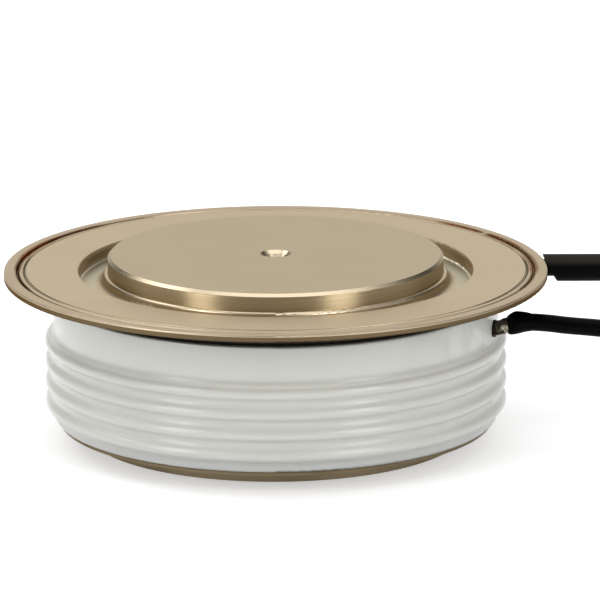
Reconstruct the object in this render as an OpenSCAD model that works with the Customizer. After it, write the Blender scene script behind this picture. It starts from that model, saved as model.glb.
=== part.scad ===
// Press-pack thyristor capsule with a gate lead and an auxiliary cathode lead.
// The origin is the centre of the anode contact face. +Z points to the cathode face and +X to the leads.

/* [Capsule] */
// Height between the two contact faces
capsule_h = 34.7; // [33:0.1:40]
// Diameter of both contact faces' pole pieces
pole_d = 62.2; // [60:0.2:64]
// Height of the cathode contact face above the lid
contact_rise = 2.7; // [1.5:0.1:4]
// Chamfer round a contact face
contact_chamfer = 0.55; // [0.3:0.05:1.2]
// Diameter of the locating hole in each contact face
dowel_d = 3.5; // [3:0.1:4]
// Depth of the locating hole
dowel_depth = 3; // [2:0.1:4]
// Diameter of the locating hole's countersink
dowel_sink_d = 5.8; // [5:0.1:7]

/* [Ceramic] */
// Gap between a pole piece and the ceramic's bore
bore_gap = 3.9; // [3:0.1:5]
// Wall of the ceramic at its smooth bands
ceramic_wall = 6.2; // [5.4:0.1:7]
// How far the ribs stand out of the smooth bands
rib_out = 1.65; // [1.3:0.05:2]
// Depth of the grooves between the ribs
rib_depth = 1.1; // [0.8:0.1:1.4]
// Number of ribs
rib_count = 4; // [2:1:5]
// Distance from one rib to the next
rib_pitch = 3.8; // [3.4:0.05:4.2]
// Height of the lowest rib's foot above the ceramic's lower end
rib_foot = 1.4; // [1.2:0.05:2]
// Rounding of the ceramic's outer edges
ceramic_round = 0.6; // [0.3:0.1:0.8]

/* [Cathode flange] */
// How far the neck stands in from the ceramic's band
neck_inset = 0.6; // [0.2:0.1:1.2]
// How far the rim reaches out from the neck
rim_reach = 9.7; // [8:0.1:12]
// Thickness of the weld flange's sheet
flange_t = 0.6; // [0.5:0.05:0.8]
// Height of the neck between the ceramic and the rim
neck_h = 3; // [2.4:0.1:3.4]
// Width of the foot that is brazed to the ceramic
foot_w = 2.4; // [1.6:0.1:2.8]
// Width of the raised outer rim
rim_w = 2.35; // [1.8:0.05:3]
// Rounding of the raised rim's edges
rim_round = 0.25; // [0.1:0.05:0.3]
// Width of the weld gap between the lid and the rim
weld_gap = 0.4; // [0.3:0.05:0.8]

/* [Lid] */
// Thickness of the lid's sheet
lid_t = 0.7; // [0.6:0.05:0.9]
// Width of the moat's floor
moat_w = 4.6; // [3:0.1:5]
// Depth of the moat
moat_depth = 2.6; // [2:0.1:2.8]
// Rounding of the moat's upper edge
moat_round = 0.4; // [0.3:0.1:1.2]
// Fillet at the moat's floor, on the lid's side
moat_fillet = 0.5; // [0.3:0.1:0.8]
// Wall of the collar that hugs the pole piece
collar_t = 0.8; // [0.7:0.1:1.2]
// Rounding of the collar's top, on the moat's side
collar_round = 0.65; // [0.3:0.05:0.65]
// Fillet between the moat's floor and the collar
collar_fillet = 1.4; // [0.5:0.1:1.4]
// How far the collar's top lies under the lid's top
collar_drop = 0.5; // [0:0.1:1]
// Width of the bead at the lid's edge
bead_w = 1.15; // [0.8:0.05:1.6]
// How far the bead's top lies under the lid's top
bead_drop = 0.05; // [0.05:0.05:0.3]
// Width of the groove inside the bead
groove_w = 0.4; // [0.2:0.05:0.6]

/* [Anode side] */
// Height of the contact disc under the shoulder
anode_step = 0.9; // [0.6:0.1:1.5]
// How far the shoulder stands out from the pole piece
shoulder_w = 4.2; // [3.5:0.1:6]
// Thickness of the shoulder
shoulder_t = 2.55; // [2:0.05:3]
// How far the anode flange stands in from the ceramic's band
anode_flange_inset = 0.9; // [0:0.1:2]
// Thickness of the anode flange
anode_flange_t = 0.8; // [0.6:0.05:1]
// Height of the anode pole piece
anode_pole_h = 14.4; // [13:0.1:15]

/* [Wafer stack] */
// Diameter of the silicon wafer
wafer_d = 60; // [56:0.5:61]
// Thickness of the silicon wafer
wafer_t = 0.7; // [0.5:0.05:1]
// Width of the wafer's bevel
bevel_w = 1.2; // [0.8:0.1:1.6]
// How far the anode molybdenum disc stands out past the wafer
disc_margin = 0.5; // [0.2:0.1:1]
// Thickness of the anode molybdenum disc
anode_disc_t = 2.5; // [2:0.1:3]
// Width of the wafer's edge seal on the wafer's top
seal_w = 1.4; // [1:0.1:2]
// Gap between the edge seal and the cathode molybdenum disc
seal_gap = 0.9; // [0.4:0.1:2]
// Thickness of the cathode molybdenum disc
cathode_disc_t = 1.4; // [1:0.1:1.8]
// Diameter of the hole for the gate in the cathode disc
gate_hole_d = 8; // [7:0.5:9]
// Thickness of the silver shim
shim_t = 0.3; // [0.2:0.05:0.5]
// Gap between the locating ring and the ceramic's bore
locating_gap = 0.2; // [0.1:0.05:0.6]
// Height of the locating ring's skirt round the anode pole piece
skirt_h = 3.4; // [2:0.2:5]

/* [Gate] */
// Direction of the gate tube, from +X
gate_az = -13.5; // [-25:0.5:-8]
// Gap between the topmost rib and the gate tube's collar
gate_gap = 0.05; // [0.05:0.05:1]
// Outer diameter of the gate tube
tube_d = 2.5; // [2.2:0.1:2.8]
// Bore of the gate tube
tube_bore_d = 1.6; // [1.4:0.1:1.8]
// Diameter of the gate tube's collar
tube_collar_d = 3.2; // [2.8:0.1:4.2]
// Length of the gate tube's sloping end
tube_end_len = 2.8; // [2.6:0.1:3.4]
// Upward slope of the gate tube's end
gate_rise = 14.5; // [8:0.5:18]
// Diameter of the inner lead
inner_lead_d = 1.2; // [0.8:0.1:1.4]
// Diameter of the pocket for the gate contact
pocket_d = 12; // [11:0.5:13]
// Width of the slot for the inner lead
slot_w = 5; // [4:0.5:6]
// Diameter of the contact pin
pin_d = 2.4; // [2:0.1:2.8]
// Diameter of the contact pin's foot
pin_foot_d = 5; // [4:0.2:6]
// Number of turns of the gate spring
spring_turns = 3.5; // [2.5:0.5:4]

/* [Leads] */
// Diameter of both leads
lead_d = 3.2; // [3.2:0.1:3.2]
// Diameter of the thick sleeve on the cathode lead
sleeve_d = 5.1; // [4.8:0.1:5.6]
// Slant of the sleeve's end at the rim
sleeve_slant = 29; // [0:1:35]
// Diameter of the boot on the gate lead
boot_d = 4.2; // [4:0.1:5]
// Width of the tab under the rim
tab_w = 3.2; // [2.6:0.1:3.6]
// Length of the tab's welded strip
tab_len = 4; // [3:0.1:5]
// Length of the tab's crimped barrel past the strip
barrel_len = 3.3; // [2.5:0.1:4]
// Diameter of a ring terminal's eye
eye_d = 4.3; // [3.2:0.1:5.3]

/* [Hidden] */

// Smoothness of round parts
round_fn = 160;
small_fn = 48;
// A cut runs past the faces it opens by this much
past = 1;
// Clearance of a loose fit
slack = 0.1;
// Gap that the braze fills round the gate tube
braze_gap = 0.03;

// Radii, from the pole pieces outwards
pole_r = pole_d / 2;
collar_r = pole_r + collar_t;
moat_r = collar_r + moat_w;
bore_r = pole_r + bore_gap;
band_r = bore_r + ceramic_wall;
crest_r = band_r + rib_out;
valley_r = crest_r - rib_depth;
neck_r = band_r - neck_inset;
flange_r = neck_r + rim_reach;
rim_in_r = flange_r - rim_w;
lid_r = rim_in_r - weld_gap;
wafer_r = wafer_d / 2;
anode_disc_r = wafer_r + disc_margin;
cathode_disc_r = wafer_r - bevel_w - seal_w - seal_gap;
locating_r = bore_r - locating_gap;
tube_r = tube_d / 2;
lead_r = lead_d / 2;

// Heights, from the anode face up
shoulder_z = anode_step + shoulder_t;
ceramic_z = shoulder_z + anode_flange_t;
lid_z = capsule_h - contact_rise;
rim_z = lid_z - lid_t;
neck_z = rim_z - flange_t;
ceramic_top = neck_z - neck_h;
moat_z = lid_z - moat_depth;
wafer_z = anode_pole_h + anode_disc_t;
wafer_top = wafer_z + wafer_t;
shim_z = wafer_top + cathode_disc_t;
cathode_pole_z = shim_z + shim_t;

// Ribbed zone of the ceramic: arcs of one radius make crests and grooves that run into each other
rib_arc = ((rib_pitch / 4) ^ 2 + (rib_depth / 2) ^ 2) / rib_depth;
first_crest_z = ceramic_z + rib_foot + rib_pitch / 2;
last_crest_z = first_crest_z + (rib_count - 1) * rib_pitch;
crest_centre_r = crest_r - rib_arc;
groove_centre_r = valley_r + rib_arc;
end_centre_r = band_r + rib_arc;
end_reach = sqrt((2 * rib_arc) ^ 2 - (crest_centre_r - end_centre_r) ^ 2);
gate_z = last_crest_z + end_reach + gate_gap + tube_collar_d / 2;

// Gate stack: the eyelet of the inner lead lies on the pin's collar, and the spring presses on the eyelet
eyelet_t = inner_lead_d;
eyelet_d = 4.6;
eyelet_z = gate_z - eyelet_t / 2;
pin_foot_t = 0.8;
pin_collar_t = 0.7;
spring_h = 3.4;
spring_wire_d = 0.6;
spring_d = 3.9;
roof_t = 1.1;
insulator_bore_d = 5.4;
pocket_top = eyelet_z + eyelet_t + spring_h + roof_t;
slot_top = gate_z + slot_w / 2;

// Gate tube, which bends up at its collar, and the joint and boot along its sloping end
tube_inner_len = 0.6;
tube_in_r = bore_r - tube_inner_len;
tube_collar_t = 0.4;
bend_r = band_r + tube_collar_t;
bend_lap = 0.3;
joint_d = 3.4;
joint_lap = 0.8;
joint_len = 1.2;
joint_end = tube_end_len + joint_len;
boot_lap = 0.6;
boot_start = tube_end_len - boot_lap;
boot_len = 3.9;
boot_end = boot_start + boot_len;
boot_round = 0.8;
boot_bulge_len = 2.2;

// Tab of the cathode lead, welded under the rim, and its crimped barrel, where the lead starts
tab_y = 10.8;
tab_t = 0.7;
tab_gap = 1.6;
tab_x = neck_r + tab_gap;
barrel_r = 1.45;
barrel_lap = 1.2;
barrel_gap = 0.05;
barrel_end_x = tab_x + tab_len + barrel_len;
cathode_lead_z = neck_z - barrel_r - barrel_gap;
sleeve_gap = 0.4;
sleeve_x = barrel_end_x + sleeve_gap;
sleeve_len = 13.8;
sleeve_taper = 2.6;

// Coils: one and a half flat turns of each lead, then a straight tail with a ring terminal
coil_x = 108;
coil_in_r = 17;
coil_turns = 1.5;
turn_step = 3.5;
coil_out_r = coil_in_r + turn_step * coil_turns;
tail_len = 24;
cathode_coil_y = 30;
gate_coil_y = -34;

// Ring terminal
terminal_barrel_len = 5;
terminal_barrel_r = 1.55;
terminal_neck = 2.4;
terminal_t = 0.8;
terminal_lift = 0.05;
terminal_wall = 1.7;
terminal_ring_r = eye_d / 2 + terminal_wall;
terminal_neck_w = 2.6;

// Route of the cathode lead, from the tab's barrel to the coil
cathode_route = concat(
    [for (x = [barrel_end_x, 57, 61, sleeve_x + sleeve_len]) [x, tab_y, cathode_lead_z]],
    [[67, 10.9, 28.8], [70, 11.2, 27.7], [73, 11.6, 26], [76, 12.1, 23.7], [79, 12.5, 20.9],
    [82, 12.8, 17.9], [85, 13, 14.8], [88, 13, 11.8], [91, 13, 9.2], [94, 13, 7.1], [96, 13, 6],
    [98, 13, 5]]);
// Route of the gate lead, from the joint to the coil
gate_route = concat(
    [for (s = [joint_end, boot_end + slack]) gate_slope_point(s)],
    [[50, -12, 24.3], [53, -12.7, 24.1], [56, -13.4, 24], [59, -14.1, 23.9], [62, -14.8, 23.7],
    [65, -15.4, 23.2], [68, -15.9, 22.3], [71, -16.3, 20.9], [74, -16.6, 19], [77, -16.8, 16.8],
    [80, -17, 14.5], [83, -17, 12.2], [86, -17, 10.1], [89, -17, 8.3], [92, -17, 6.9], [95, -17, 5.8],
    [98, -17, 5]]);

// Colours
c_nickel = [0.77, 0.71, 0.60];
c_ceramic = [0.85, 0.85, 0.82];
c_steel = [0.62, 0.62, 0.64];
c_silver = [0.86, 0.86, 0.88];
c_silicon = [0.30, 0.32, 0.38];
c_seal = [0.55, 0.25, 0.18];
c_ptfe = [0.93, 0.92, 0.88];
c_black = [0.06, 0.06, 0.06];
c_tin = [0.75, 0.75, 0.76];

// A ring with a square section
module ring(r_in, r_out, z_low, z_high) {
    rotate_extrude($fn = round_fn)
        translate([r_in, z_low]) square([r_out - r_in, z_high - z_low]);
}

// Locating hole with a countersink, cut downwards from z = 0
module dowel_cut() {
    sink_depth = (dowel_sink_d - dowel_d) / 2;
    translate([0, 0, -dowel_depth]) cylinder(d = dowel_d, h = dowel_depth + past, $fn = small_fn);
    translate([0, 0, -sink_depth])
        cylinder(d1 = dowel_d, d2 = dowel_sink_d + 2 * past, h = sink_depth + past, $fn = small_fn);
}

module ceramic_section() {
    difference() {
        union() {
            translate([bore_r, ceramic_z]) square([band_r - bore_r, ceramic_top - ceramic_z]);
            polygon(concat(
                [[bore_r + past, first_crest_z - end_reach], [end_centre_r, first_crest_z - end_reach]],
                [for (i = [0:2 * rib_count - 2])
                    [i % 2 == 0 ? crest_centre_r : groove_centre_r, first_crest_z + i * rib_pitch / 2]],
                [[end_centre_r, last_crest_z + end_reach], [bore_r + past, last_crest_z + end_reach]]));
            for (i = [0:rib_count - 1])
                translate([crest_centre_r, first_crest_z + i * rib_pitch])
                    circle(r = rib_arc, $fn = small_fn);
        }
        for (i = [0:rib_count - 2])
            translate([groove_centre_r, first_crest_z + (i + 0.5) * rib_pitch])
                circle(r = rib_arc, $fn = small_fn);
        for (z = [first_crest_z - end_reach, last_crest_z + end_reach])
            translate([end_centre_r, z]) circle(r = rib_arc, $fn = small_fn);
        edge_cut(band_r, ceramic_z, ceramic_round, -1);
        edge_cut(band_r, ceramic_top, ceramic_round, 1);
    }
}

// What a rounded corner at (r, z) takes off a section. up is 1 for an upper corner and -1 for a lower one,
// and out is 1 for an outer corner and -1 for an inner one
module edge_cut(r, z, radius, up, out = 1) {
    difference() {
        translate([out > 0 ? r - radius : r - past, up > 0 ? z - radius : z - past])
            square([radius + past, radius + past]);
        translate([r - out * radius, z - up * radius]) circle(r = radius, $fn = small_fn);
    }
}

module ceramic_housing() {
    color(c_ceramic)
    difference() {
        rotate_extrude($fn = round_fn) ceramic_section();
        rotate([0, 0, gate_az]) translate([bore_r - past, 0, gate_z]) rotate([0, 90, 0])
            cylinder(r = tube_r + braze_gap, h = band_r - bore_r + 2 * past, $fn = small_fn);
    }
}

// Formed ring: foot on the ceramic, neck, flat rim and raised outer edge
module cathode_weld_flange() {
    color(c_nickel)
    rotate_extrude($fn = round_fn)
    difference() {
        union() {
            translate([neck_r - foot_w, ceramic_top]) square([foot_w, flange_t]);
            translate([neck_r - flange_t, ceramic_top]) square([flange_t, neck_h + flange_t]);
            translate([neck_r - flange_t, neck_z]) square([flange_r - neck_r + flange_t, flange_t]);
            translate([rim_in_r, neck_z]) square([rim_w, lid_z - neck_z]);
        }
        edge_cut(flange_r, lid_z, rim_round, 1);
        edge_cut(flange_r, neck_z, rim_round, -1);
        edge_cut(rim_in_r, lid_z, rim_round, 1, -1);
    }
}

// Pressed cover: collar round the pole piece, moat, flat ring, and a groove with a lower bead at the edge
module cathode_lid_flange() {
    moat_out_r = moat_r + lid_t;
    bead_in_r = lid_r - bead_w;
    bead_z = lid_z - bead_drop;
    collar_z = lid_z - collar_drop;
    collar_in_round = 0.1;
    foot_fillet = min(collar_fillet, moat_depth - collar_drop - collar_round);
    bead_round = 0.2;
    color(c_nickel)
    rotate_extrude($fn = round_fn)
    difference() {
        union() {
            translate([pole_r, moat_z - lid_t]) square([moat_out_r - pole_r, lid_z - moat_z + lid_t]);
            translate([moat_r, rim_z]) square([lid_r - moat_r, lid_t]);
        }
        // Hollow of the moat, with a rounded floor
        difference() {
            translate([collar_r, moat_z]) square([moat_w, moat_depth + past]);
            edge_fillet(moat_r, moat_z, moat_fillet, 1);
            edge_fillet(collar_r, moat_z, foot_fillet, -1);
        }
        // Rounded upper edge of the moat
        difference() {
            translate([moat_r - past, lid_z - moat_round]) square([moat_round + past, moat_round + past]);
            translate([moat_r + moat_round, lid_z - moat_round]) circle(r = moat_round, $fn = small_fn);
        }
        // Space over the collar, and the collar's round top
        translate([pole_r - past, collar_z]) square([collar_t + 2 * past, collar_drop + past]);
        edge_cut(collar_r, collar_z, collar_round, 1);
        edge_cut(pole_r, collar_z, collar_in_round, 1, -1);
        translate([bead_in_r, bead_z]) square([bead_w + past, bead_drop + past]);
        translate([bead_in_r, bead_z]) circle(d = groove_w, $fn = small_fn);
        edge_cut(lid_r, bead_z, bead_round, 1);
    }
}

// Fillet in the inner corner at (r, z) of a section; side is 1 where the wall is on the outside
module edge_fillet(r, z, radius, side) {
    difference() {
        translate([side > 0 ? r - radius : r - past, z - past]) square([radius + past, radius + past]);
        translate([r - side * radius, z + radius]) circle(r = radius, $fn = small_fn);
    }
}

module cathode_pole_piece() {
    color(c_nickel)
    difference() {
        rotate_extrude($fn = round_fn)
        polygon([[0, cathode_pole_z], [pole_r, cathode_pole_z], [pole_r, capsule_h - contact_chamfer],
            [pole_r - contact_chamfer, capsule_h], [0, capsule_h]]);
        translate([0, 0, capsule_h]) dowel_cut();
        translate([0, 0, cathode_pole_z - past])
            cylinder(d = pocket_d, h = pocket_top - cathode_pole_z + past, $fn = small_fn);
        rotate([0, 0, gate_az]) translate([0, -slot_w / 2, cathode_pole_z - past])
            cube([pole_r + past, slot_w, slot_top - cathode_pole_z + past]);
    }
}

module anode_pole_piece() {
    shoulder_r = pole_r + shoulder_w;
    color(c_nickel)
    difference() {
        rotate_extrude($fn = round_fn)
        polygon([[0, 0], [pole_r - contact_chamfer, 0], [pole_r, contact_chamfer], [pole_r, anode_step],
            [shoulder_r, anode_step], [shoulder_r, shoulder_z], [pole_r, shoulder_z],
            [pole_r, anode_pole_h], [0, anode_pole_h]]);
        mirror([0, 0, 1]) dowel_cut();
    }
}

module anode_flange() {
    color(c_nickel)
    ring(pole_r, band_r - anode_flange_inset, shoulder_z, ceramic_z);
}

module anode_molybdenum_disc() {
    color(c_steel)
    translate([0, 0, anode_pole_h]) cylinder(r = anode_disc_r, h = anode_disc_t, $fn = round_fn);
}

module silicon_wafer() {
    color(c_silicon)
    translate([0, 0, wafer_z])
        cylinder(r1 = wafer_r, r2 = wafer_r - bevel_w, h = wafer_t, $fn = round_fn);
}

// Silicone bead over the wafer's bevel
module wafer_edge_seal() {
    r_top = wafer_r - bevel_w;
    seal_h = 0.6;
    seal_slope = 0.3;
    color(c_seal)
    rotate_extrude($fn = round_fn)
    polygon([[wafer_r, wafer_z], [anode_disc_r, wafer_z], [anode_disc_r, wafer_top],
        [wafer_r - seal_slope, wafer_top + seal_h], [r_top - seal_slope, wafer_top + seal_h],
        [r_top - seal_w, wafer_top], [r_top, wafer_top]]);
}

module cathode_molybdenum_disc() {
    color(c_steel)
    ring(gate_hole_d / 2, cathode_disc_r, wafer_top, shim_z);
}

module silver_shim() {
    color(c_silver)
    ring(pocket_d / 2, cathode_disc_r, shim_z, cathode_pole_z);
}

// Ring that centres the stack in the ceramic's bore
module locating_ring() {
    color(c_ptfe)
    union() {
        ring(anode_disc_r + slack, locating_r, anode_pole_h, wafer_z);
        ring(pole_r + slack, locating_r, anode_pole_h - skirt_h, anode_pole_h);
    }
}

// Insulating cup in the pole piece's pocket, open below, with a window for the inner lead
module gate_insulator() {
    window_w = inner_lead_d + 6 * slack;
    color(c_ptfe)
    difference() {
        translate([0, 0, shim_z])
            cylinder(d = pocket_d - 2 * slack, h = pocket_top - shim_z, $fn = small_fn);
        translate([0, 0, shim_z - past])
            cylinder(d = insulator_bore_d, h = pocket_top - roof_t - shim_z + past, $fn = small_fn);
        rotate([0, 0, gate_az]) translate([0, -window_w / 2, shim_z - past])
            cube([pocket_d, window_w, eyelet_z + eyelet_t + slack - shim_z + past]);
    }
}

// Sweeps a circle with the given number of sides along points, from flat end to flat end
module swept_tube(points, radius, sides) {
    count = len(points);
    function unit(v) = v / norm(v);
    function heading(i) = unit(points[min(i + 1, count - 1)] - points[max(i - 1, 0)]);
    function side(i) = unit(cross(heading(i), [0.001, 0, 1]));
    vertices = [for (i = [0:count - 1]) for (k = [0:sides - 1])
        let (turn = 360 * k / sides, s = side(i), u = cross(s, heading(i)))
        points[i] + radius * (cos(turn) * s + sin(turn) * u)];
    first_cap = [for (k = [0:sides - 1]) k];
    last_cap = [for (k = [sides - 1:-1:0]) (count - 1) * sides + k];
    walls = [for (i = [0:count - 2]) for (k = [0:sides - 1])
        let (near = i * sides, far = near + sides, next = (k + 1) % sides)
        [near + k, far + k, far + next, near + next]];
    polyhedron(points = vertices, faces = concat([first_cap], walls, [last_cap]), convexity = 6);
}

// Helical spring between the eyelet and the insulator's roof
module gate_spring() {
    per_turn = 16;
    steps = round(spring_turns * per_turn);
    helix_r = (spring_d - spring_wire_d) / 2;
    seat = spring_wire_d / 2 * cos(30);
    low = eyelet_z + eyelet_t + seat;
    rise = spring_h - 2 * seat;
    path = [for (i = [0:steps])
        [helix_r * cos(360 * i / per_turn), helix_r * sin(360 * i / per_turn), low + rise * i / steps]];
    color(c_steel) swept_tube(path, spring_wire_d / 2, 6);
}

module gate_contact_pin() {
    top = eyelet_z + eyelet_t + spring_h / 2;
    color(c_steel)
    translate([0, 0, wafer_top])
    union() {
        cylinder(d = pin_foot_d, h = pin_foot_t, $fn = small_fn);
        cylinder(d = pin_d, h = top - wafer_top, $fn = small_fn);
        translate([0, 0, eyelet_z - pin_collar_t - wafer_top])
            cylinder(d = eyelet_d, h = pin_collar_t, $fn = small_fn);
    }
}

// Eyelet on the pin and the straight lead that runs out through the gate tube
module gate_inner_lead() {
    color(c_silver)
    rotate([0, 0, gate_az])
    difference() {
        union() {
            translate([0, 0, eyelet_z]) cylinder(d = eyelet_d, h = eyelet_t, $fn = small_fn);
            bent_rod(pin_d / 2, inner_lead_d / 2, tube_end_len);
        }
        translate([0, 0, eyelet_z - past])
            cylinder(d = pin_d + 2 * slack, h = eyelet_t + 2 * past, $fn = small_fn);
    }
}

// Tube through the ceramic with a collar that sits on the ceramic's wall, bent up at its outer end
module gate_tube() {
    color(c_nickel)
    rotate([0, 0, gate_az])
    difference() {
        union() {
            bent_rod(tube_in_r, tube_r, tube_end_len);
            difference() {
                translate([band_r - past, 0, gate_z]) rotate([0, 90, 0])
                    cylinder(d = tube_collar_d, h = past + tube_collar_t, $fn = small_fn);
                cylinder(r = band_r, h = capsule_h, $fn = round_fn);
            }
        }
        bent_rod(tube_in_r - past, tube_bore_d / 2, tube_end_len + past);
    }
}

// Rod of radius r along the gate's radial line, from from_r to the bend, and for length up the slope
module bent_rod(from_r, r, length) {
    translate([from_r, 0, gate_z]) rotate([0, 90, 0])
        cylinder(r = r, h = bend_r + bend_lap - from_r, $fn = small_fn);
    translate([bend_r, 0, gate_z]) rotate([0, 90 - gate_rise, 0]) translate([0, 0, -bend_lap])
        cylinder(r = r, h = length + bend_lap, $fn = small_fn);
}

// Place on the gate tube's sloping line at the distance s from the bend
function gate_slope_point(s) =
    let (r = bend_r + s * cos(gate_rise))
    [r * cos(gate_az), r * sin(gate_az), gate_z + s * sin(gate_rise)];

// Sets children on the gate tube's sloping line, with z along it from the bend
module on_gate_slope() {
    rotate([0, 0, gate_az]) translate([bend_r, 0, gate_z]) rotate([0, 90 - gate_rise, 0]) children();
}

// Solder over the tube's end and the lead's core
module gate_lead_joint() {
    joint_r = joint_d / 2;
    joint_start = tube_end_len - joint_lap;
    joint_chamfer = 0.2;
    color(c_tin)
    on_gate_slope() rotate_extrude($fn = small_fn)
    polygon([[0, tube_end_len], [tube_r, tube_end_len], [tube_r, joint_start],
        [joint_r - joint_chamfer, joint_start], [joint_r, joint_start + 2 * joint_chamfer],
        [joint_r, joint_end], [0, joint_end]]);
}

// Black shrunk boot over the joint and the lead's first millimetres
module gate_lead_boot() {
    joint_r = joint_d / 2;
    boot_r = boot_d / 2;
    boot_t = 0.25;
    shoulder_s = boot_start + boot_round;
    color(c_black)
    on_gate_slope() rotate_extrude($fn = small_fn)
    difference() {
        union() {
            translate([0, boot_start]) square([boot_r - boot_round, 2 * boot_round]);
            translate([boot_r - boot_round, shoulder_s]) circle(r = boot_round, $fn = small_fn);
            polygon([[0, shoulder_s], [boot_r, shoulder_s], [boot_r, boot_start + boot_bulge_len],
                [lead_r + boot_t, boot_end], [0, boot_end]]);
        }
        translate([-past, boot_start - past]) square([joint_r + past, joint_end - boot_start + past]);
        translate([-past, joint_end - past]) square([lead_r + past, boot_end - joint_end + 2 * past]);
    }
}

module gate_lead() {
    color(c_black) swept_tube(gate_route, lead_r, 8);
}

module cathode_lead() {
    color(c_black) swept_tube(cathode_route, lead_r, 8);
}

// Outer shape of a flat coil with a straight tail towards -X, on the coil's +Y side
module lead_coil() {
    union() {
        ring(coil_in_r - lead_r, coil_out_r + lead_r, 0, lead_d);
        translate([-tail_len, coil_out_r, lead_r]) rotate([0, 90, 0])
            cylinder(r = lead_r - slack / 2, h = tail_len, $fn = small_fn);
    }
}

module gate_lead_coil() {
    color(c_black) translate([coil_x, gate_coil_y, 0]) mirror([0, 1, 0]) lead_coil();
}

module cathode_lead_coil() {
    color(c_black) translate([coil_x, cathode_coil_y, 0]) lead_coil();
}

// Crimped ring terminal that points to -X from the tail's end
module ring_terminal(y) {
    ring_x = -terminal_barrel_len - terminal_neck - terminal_ring_r;
    tongue_x = -terminal_barrel_len - terminal_neck / 2;
    translate([coil_x - tail_len, y, 0])
    difference() {
        union() {
            translate([-terminal_barrel_len, 0, lead_r]) rotate([0, 90, 0])
                cylinder(r = terminal_barrel_r, h = terminal_barrel_len, $fn = small_fn);
            // Flat tongue: as wide as the barrel under it, drawn in at the neck and wide again at the ring
            translate([0, 0, terminal_lift]) linear_extrude(terminal_t)
            polygon([[-past, -terminal_barrel_r], [-past, terminal_barrel_r],
                [-terminal_barrel_len, terminal_barrel_r], [tongue_x, terminal_neck_w / 2],
                [ring_x, terminal_ring_r - slack], [ring_x, slack - terminal_ring_r],
                [tongue_x, -terminal_neck_w / 2], [-terminal_barrel_len, -terminal_barrel_r]]);
            translate([ring_x, 0, terminal_lift])
                cylinder(r = terminal_ring_r, h = terminal_t, $fn = small_fn);
        }
        translate([ring_x, 0, -past]) cylinder(d = eye_d, h = terminal_t + 2 * past, $fn = small_fn);
    }
}

module gate_lead_terminal() {
    color(c_tin) ring_terminal(gate_coil_y - coil_out_r);
}

module cathode_lead_terminal() {
    color(c_tin) ring_terminal(cathode_coil_y + coil_out_r);
}

// Strip that is spot welded under the rim, with a crimped barrel for the lead's core
module cathode_lead_tab() {
    color(c_tin)
    union() {
        translate([tab_x, tab_y - tab_w / 2, neck_z - tab_t]) cube([tab_len, tab_w, tab_t]);
        translate([tab_x + tab_len - barrel_lap, tab_y, cathode_lead_z]) rotate([0, 90, 0])
            cylinder(r = barrel_r, h = barrel_len + barrel_lap, $fn = small_fn);
    }
}

// Thick sleeve with a slanted end at the rim, shrunk down onto the lead at its far end
module cathode_lead_sleeve() {
    sleeve_r = sleeve_d / 2;
    sleeve_t = 0.35;
    cut_size = 2 * sleeve_d;
    color(c_black)
    translate([sleeve_x, tab_y, cathode_lead_z])
    difference() {
        rotate([0, 90, 0]) rotate_extrude($fn = small_fn)
        polygon([[lead_r, 0], [sleeve_r, 0], [sleeve_r, sleeve_len - sleeve_taper],
            [lead_r + sleeve_t, sleeve_len], [lead_r, sleeve_len]]);
        translate([0, 0, sleeve_r]) rotate([0, -sleeve_slant, 0])
            translate([-cut_size, -sleeve_d, -cut_size]) cube([cut_size, cut_size, 1.5 * cut_size]);
    }
}

ceramic_housing();
cathode_weld_flange();
cathode_lid_flange();
cathode_pole_piece();
anode_pole_piece();
anode_flange();
anode_molybdenum_disc();
silicon_wafer();
wafer_edge_seal();
cathode_molybdenum_disc();
silver_shim();
locating_ring();
gate_insulator();
gate_spring();
gate_contact_pin();
gate_inner_lead();
gate_tube();
gate_lead_joint();
gate_lead_boot();
gate_lead();
gate_lead_coil();
gate_lead_terminal();
cathode_lead_tab();
cathode_lead_sleeve();
cathode_lead();
cathode_lead_coil();
cathode_lead_terminal();
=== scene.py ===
# Looks of the press-pack thyristor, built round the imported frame. Lengths are in metres, and in millimetres
# where a name ends in _MM or a comment says so.
import math

import bmesh
import bpy
from mathutils import Matrix, Vector


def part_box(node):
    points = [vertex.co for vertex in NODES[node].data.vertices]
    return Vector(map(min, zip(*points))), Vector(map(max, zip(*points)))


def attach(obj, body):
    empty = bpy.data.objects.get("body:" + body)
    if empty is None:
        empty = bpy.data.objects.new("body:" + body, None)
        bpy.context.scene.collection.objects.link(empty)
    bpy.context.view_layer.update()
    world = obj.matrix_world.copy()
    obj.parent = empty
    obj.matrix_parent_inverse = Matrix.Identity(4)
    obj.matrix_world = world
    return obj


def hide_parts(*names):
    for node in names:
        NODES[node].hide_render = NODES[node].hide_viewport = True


MM = 0.001

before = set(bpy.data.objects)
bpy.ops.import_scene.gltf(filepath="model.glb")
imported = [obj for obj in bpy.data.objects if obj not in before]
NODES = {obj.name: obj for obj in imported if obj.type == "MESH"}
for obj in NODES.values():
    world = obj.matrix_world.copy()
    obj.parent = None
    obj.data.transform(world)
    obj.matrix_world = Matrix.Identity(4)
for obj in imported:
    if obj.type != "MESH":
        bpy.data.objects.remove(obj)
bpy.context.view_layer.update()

# Sizes taken from the frame
CAPSULE_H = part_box("cathode_pole_piece")[1].z
POLE_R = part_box("cathode_pole_piece")[1].x
LID_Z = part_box("cathode_lid_flange")[1].z
LID_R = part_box("cathode_lid_flange")[1].x
CERAMIC_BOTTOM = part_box("ceramic_housing")[0].z
CERAMIC_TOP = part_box("ceramic_housing")[1].z
CREST_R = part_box("ceramic_housing")[1].x
FOOT_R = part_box("anode_flange")[1].x

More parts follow.
